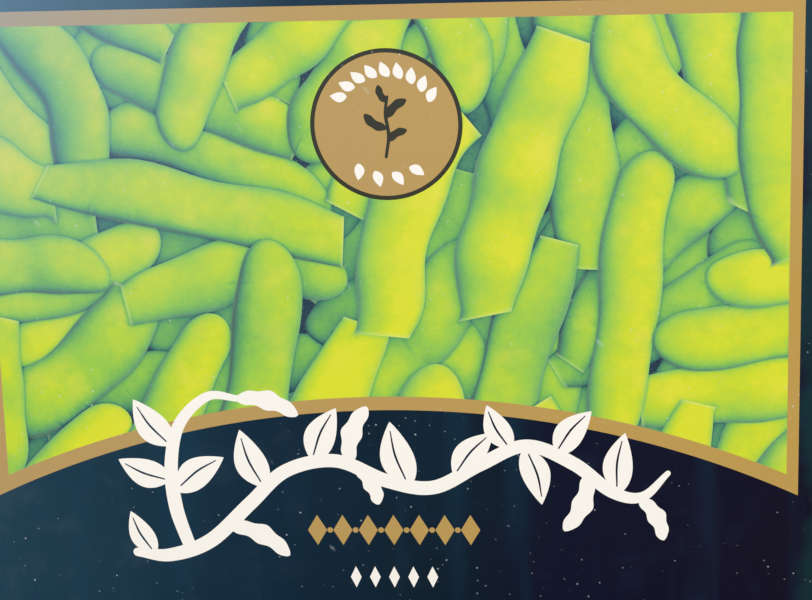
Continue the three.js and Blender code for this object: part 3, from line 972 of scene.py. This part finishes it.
class Shader:
    """A material under construction, ending in one principled surface."""

    def __init__(self, name):
        self.material = bpy.data.materials.new(name)
        self.material.use_nodes = True
        self.tree = self.material.node_tree
        self.surface = self.tree.nodes["Principled BSDF"]

    def node(self, kind, settings, inputs):
        """Adds a node, sets what it is, then gives its sockets values or links."""
        made = self.tree.nodes.new("ShaderNode" + kind)
        for key, value in settings.items():
            if key == "stops":
                ramp = made.color_ramp.elements
                while len(ramp) < len(value):
                    ramp.new(0.5)
                for element, (element.position, colour) in zip(ramp, value):
                    element.color = srgb(*colour)
            else:
                setattr(made, key, value)
        for key, value in inputs.items():
            self.feed(made.inputs[key], value)
        return made

    def feed(self, socket, value):
        if isinstance(value, Wire):
            value = value.socket
        if isinstance(value, bpy.types.NodeSocket):
            self.tree.links.new(value, socket)
        else:
            socket.default_value = value

    def wire(self, kind, settings, inputs, output):
        return Wire(self, self.node(kind, settings, inputs).outputs[output])

    def maths(self, operation, *values):
        return self.wire("Math", {"operation": operation}, dict(enumerate(values)), 0)

    def fact(self, name):
        """The number that the mesh holds under a name."""
        return self.wire("Attribute", {"attribute_name": name}, {}, "Fac")

    def place(self):
        """Object coordinates, in metres."""
        return self.node("TexCoord", {}, {}).outputs["Object"]

    def axes(self):
        """Object coordinates as three numbers."""
        split = self.node("SeparateXYZ", {}, {"Vector": self.place()})
        return [Wire(self, split.outputs[axis]) for axis in range(3)]

    def noise(self, size, detail=2.0, roughness=0.5):
        """Even noise from 0 to 1 whose blots are about size millimetres across."""
        inputs = {"Vector": self.place(), "Scale": 1 / (size * MM), "Detail": detail, "Roughness": roughness}
        return self.wire("TexNoise", {}, inputs, "Fac")

    def scale(self, value, stops):
        """The colour at a number between the stops of a scale."""
        return self.node("ValToRGB", {"stops": stops}, {"Fac": value}).outputs["Color"]

    def stained(self, colour, *stains):
        """A colour with others mixed in, one after another, each given as its share and itself."""
        for share, other in stains:
            inputs = {0: share, 6: colour, 7: srgb(*other) if isinstance(other, tuple) else other}
            colour = self.node("Mix", {"data_type": "RGBA"}, inputs).outputs[2]
        return colour

    def finish(self, colour, roughness, bumps=None, strength=0.3, depth=0.00004, specular=0.5):
        self.feed(self.surface.inputs["Base Color"], colour)
        self.feed(self.surface.inputs["Roughness"], roughness)
        self.surface.inputs["Specular IOR Level"].default_value = specular
        if bumps is not None:
            bump = self.node("Bump", {}, {"Height": bumps, "Strength": strength, "Distance": depth})
            self.feed(self.surface.inputs["Normal"], bump.outputs["Normal"])
        return self.material


GLOSS = 0.13
# Grains of dust: how far apart they lie, in millimetres, how much longer than wide they are, the turn of
# their length on the front, in degrees, their reach as a share of the way between them, and their whiteness
DUST = ((3.6, 1.0, 0, 0.062, 0.60), (2.0, 1.6, 20, 0.070, 0.34), (8.5, 2.8, 48, 0.060, 0.20))


def dust(shader):
    """How white the dust is: grains round scattered points, drawn out one way and frayed by noise."""
    few = shader.noise(14, 3).ramp(0.42, 0.60)
    frayed = 0.05 * (shader.noise(0.5, 2) - 0.5)
    cover = 0
    for gap, stretch, turn, reach, white in DUST:
        lie = {"Vector": shader.place(), "Rotation": (0, math.radians(turn), 0), "Scale": (stretch, 1, 1)}
        spot = shader.node("Mapping", {"vector_type": "TEXTURE"}, lie).outputs["Vector"]
        away = shader.wire("TexVoronoi", {}, {"Vector": spot, "Scale": 1 / (gap * MM)}, "Distance") + frayed
        cover = cover + (1 - away.ramp(reach * 0.6, reach * 1.2)) * few * white
    return cover.held()


def varnished(shader, colour):
    """Finishes an ink as the frozen pack shows it: a painted reflection, a pale bluish glare towards the
    upper left and faintly along the top, grains of dust, pale worn creases, and an uneven gloss over faint
    board fibres."""
    x, _, z = shader.axes()
    cloud = shader.noise(26, 3)
    # painted reflection: a pale bluish glare, strongest at the upper left and faint along the whole top
    left = ((-0.02 - x) * 12.5).held()
    high = ((z - 0.062) * 11.4).held()
    painted_glare = (left * high * (0.30 + 0.30 * cloud) + 0.05 * high).held()
    speck = dust(shader)
    frayed = shader.noise(1.6, 4, roughness=0.7).ramp(0.56, 0.74)
    wear = (1 - shader.fact("crease_gap") / 0.75).held() * frayed * 0.5
    stains = ((painted_glare, (136, 176, 206)), (speck, (214, 220, 222)), (wear, (206, 208, 204)))
    colour = shader.stained(colour, *stains)
    roughness = 0.24 + 0.10 * cloud + 0.25 * wear + 0.3 * speck
    bumps = shader.noise(0.8, 3) + 6 * shader.noise(34, 1)
    return shader.finish(colour, roughness, bumps, strength=0.35, depth=0.00006, specular=GLOSS)


def navy_ink():
    """Deep blue that runs from teal on the left to near violet on the right, with a painted reflection in
    teal at the right edge, faint blotches, upright streaks, and pale patches towards the left."""
    shader = Shader("navy ink")
    x = shader.axes()[0]
    # the last stop, teal at the right edge of the front, is a painted reflection
    stops = (
        (0.00, (26, 60, 78)), (0.34, (4, 36, 55)), (0.56, (1, 24, 40)), (0.72, (3, 8, 36)),
        (0.965, (8, 2, 28)), (0.985, (8, 40, 46)),
    )
    colour = shader.scale(x * 5 + 0.5 + 0.16 * (shader.noise(24, 3) - 0.5), stops)
    blotch = shader.noise(9, 4).ramp(0.52, 0.85) * 0.30
    tall = shader.node("Mapping", {}, {"Vector": shader.place(), "Scale": (90, 40, 9)}).outputs["Vector"]
    streak = shader.wire("TexNoise", {}, {"Vector": tall, "Scale": 1.0, "Detail": 2.0}, "Fac")
    streak = streak.ramp(0.54, 0.74) * 0.28
    pale_left_patches = shader.noise(8, 5, roughness=0.6).ramp(0.47, 0.76) * (0.12 - x * 9).held() * 0.24
    stains = ((blotch, (24, 44, 72)), (streak, (10, 58, 82)), (pale_left_patches, (68, 84, 96)))
    return varnished(shader, shader.stained(colour, *stains))


def gold_ink():
    shader = Shader("gold ink")
    warm = (shader.axes()[0] * 4 + 0.5 + 0.5 * (shader.noise(25, 3) - 0.5)).held()
    return varnished(shader, shader.stained(srgb(180, 148, 98), (warm, (188, 150, 72))))


def blotched_ink(name, size, first, second):
    """An ink of two near colours in blotches about size millimetres across."""
    shader = Shader(name)
    return varnished(shader, shader.stained(srgb(*first), (shader.noise(size, 2), second)))


def cream_ink():
    return blotched_ink("cream ink", 20, (250, 243, 234), (246, 238, 230))


def dark_ink():
    return blotched_ink("dark olive ink", 12, (44, 40, 20), (56, 50, 28))


def raw_board():
    shader = Shader("raw board")
    fibre = shader.noise(0.5, 4)
    colour = shader.stained(srgb(206, 196, 178), (fibre, (236, 229, 214)))
    return shader.finish(colour, 0.72 + 0.2 * fibre, fibre)


def picture_ink():
    """The printed heap: the light on each pod's rounded form, times how open it is, runs through a scale of
    greens, with warm patches, pale fuzz on the far sides, pale cut ends, and hairs in the gaps."""
    shader = Shader("pod picture ink")
    right, up, light, cut, tone, level, touch = (shader.fact(name) for name in POD_FACTS)
    x, _, z = shader.axes()
    out = (1 - right * right - up * up).held() ** 0.5
    facing = (right * PICTURE_LIGHT[0] + up * PICTURE_LIGHT[1] + out * PICTURE_LIGHT[2]).held()
    lit = (facing * 1.10 - 0.08).held() * light
    blotch = shader.noise(8, 3) - 0.5
    patch = shader.noise(3.4, 3) - 0.5
    grain = shader.noise(0.9, 3) - 0.5
    sunny = x * 0.55 - z * 0.55 + 0.05
    value = lit * 0.88 + 0.07 * level + 0.085 * tone + (0.16 * blotch + 0.26 * patch) * lit
    value = value + 0.12 * grain + sunny * 0.6
    stops = (
        (0.00, (34, 66, 80)), (0.12, (54, 106, 98)), (0.28, (84, 148, 100)), (0.46, (118, 178, 86)),
        (0.62, (150, 197, 76)), (0.78, (180, 207, 60)), (0.90, (199, 213, 48)), (1.00, (216, 218, 48)),
    )
    warm = shader.noise(9, 2).ramp(0.48, 0.80) * lit.ramp(0.6, 0.95) * 0.40
    fuzz = (1 - out) * (1 - out) * light.ramp(0.55, 1.0) * 0.55
    rim = (1 - cut / 0.8).held() * 0.45 * light
    floor = shader.stained(srgb(30, 50, 68), ((light * 0.9).held(), (70, 98, 112)))
    hairs = shader.noise(0.42, 3, roughness=0.8).ramp(0.57, 0.70)
    hairs = hairs * (1 - touch / 1.5).held() * (1 - light).held() * 0.55
    stains = (
        (warm, (230, 216, 84)), (fuzz.held(), (166, 206, 138)), (rim, (206, 224, 142)),
        ((0 - level).held(), floor), (hairs, (168, 196, 150)),
    )
    return varnished(shader, shader.stained(shader.scale(value, stops), *stains))


INKS = (navy_ink, gold_ink, picture_ink, cream_ink, dark_ink, raw_board)


def pod_skin():
    """Frozen pods: greens in soft blotches, a pale frost in patches, fine fuzz."""
    shader = Shader("pod skin")
    blotch = shader.noise(8, 3)
    fuzz = shader.noise(0.5, 2)
    frost = shader.noise(14, 4, roughness=0.7).ramp(0.52, 0.72) * 0.45
    colour = shader.stained(srgb(104, 158, 70), (blotch, (188, 210, 82)), (frost, (216, 232, 222)))
    roughness = 0.48 + 0.2 * fuzz + 0.2 * frost
    return shader.finish(colour, roughness, fuzz + 2 * blotch, strength=0.4, depth=0.0001)


# Set and camera


def area_light(name, place, size, power, colour):
    """A square lamp that shines at the middle of the carton."""
    data = bpy.data.lights.new(name, "AREA")
    data.size = size
    data.energy = power
    data.color = colour
    lamp = bpy.data.objects.new(name, data)
    lamp.location = place
    lamp.rotation_euler = (Vector((0, 0, 0.08)) - Vector(place)).to_track_quat("-Z", "Y").to_euler()
    bpy.context.scene.collection.objects.link(lamp)


def studio():
    floor = bpy.data.meshes.new("floor")
    floor.from_pydata([(-2, -2, 0), (2, -2, 0), (2, 2, 0), (-2, 2, 0)], [], [(0, 1, 2, 3)])
    floor.materials.append(Shader("pale floor").finish(srgb(206, 205, 202), 0.8))
    stage = bpy.data.objects.new("floor", floor)
    bpy.context.scene.collection.objects.link(stage)
    world = bpy.data.worlds.new("studio")
    world.use_nodes = True
    sky = world.node_tree.nodes["Background"].inputs
    sky["Color"].default_value = (0.93, 0.96, 1.0, 1)
    sky["Strength"].default_value = 0.6
    bpy.context.scene.world = world
    area_light("key", (0.7, -1.1, 1.2), 1.0, 14.5, (1.0, 0.98, 0.95))
    area_light("fill", (-1.0, -0.9, 0.8), 0.9, 7.5, (0.9, 0.96, 1.0))


def camera():
    data = bpy.data.cameras.new("camera")
    data.sensor_width = 36
    data.lens = FOCAL_PIXELS / IMAGE_WIDTH * data.sensor_width
    data.clip_start = 0.01
    view = bpy.data.objects.new("camera", data)
    turn = (
        Matrix.Rotation(math.radians(CAMERA_YAW), 4, "Z")
        @ Matrix.Rotation(math.radians(CAMERA_TILT), 4, "X")
        @ Matrix.Rotation(math.radians(CAMERA_ROLL), 4, "Y")
        @ Matrix.Rotation(math.pi / 2, 4, "X")
    )
    view.matrix_world = Matrix.Translation(Vector(CAMERA_PLACE) * MM) @ turn
    bpy.context.scene.collection.objects.link(view)
    bpy.context.scene.camera = view
    bpy.context.scene.view_settings.view_transform = "Standard"


# Build

camera()
studio()
artwork = Artwork()
rng = np.random.default_rng(41)
front_art(artwork, rng)
top_art(artwork, rng)
put_frame(artwork, BOTTOM, 93, -14.5, 14.5, 0.8)
for end in (LEFT_END, RIGHT_END):
    end_art(artwork, end)
back_art(artwork, rng)
board = board_mesh("carton_board", artwork)
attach(board, "root")
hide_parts("carton")
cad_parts["pods"].data.materials.clear()
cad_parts["pods"].data.materials.append(pod_skin())
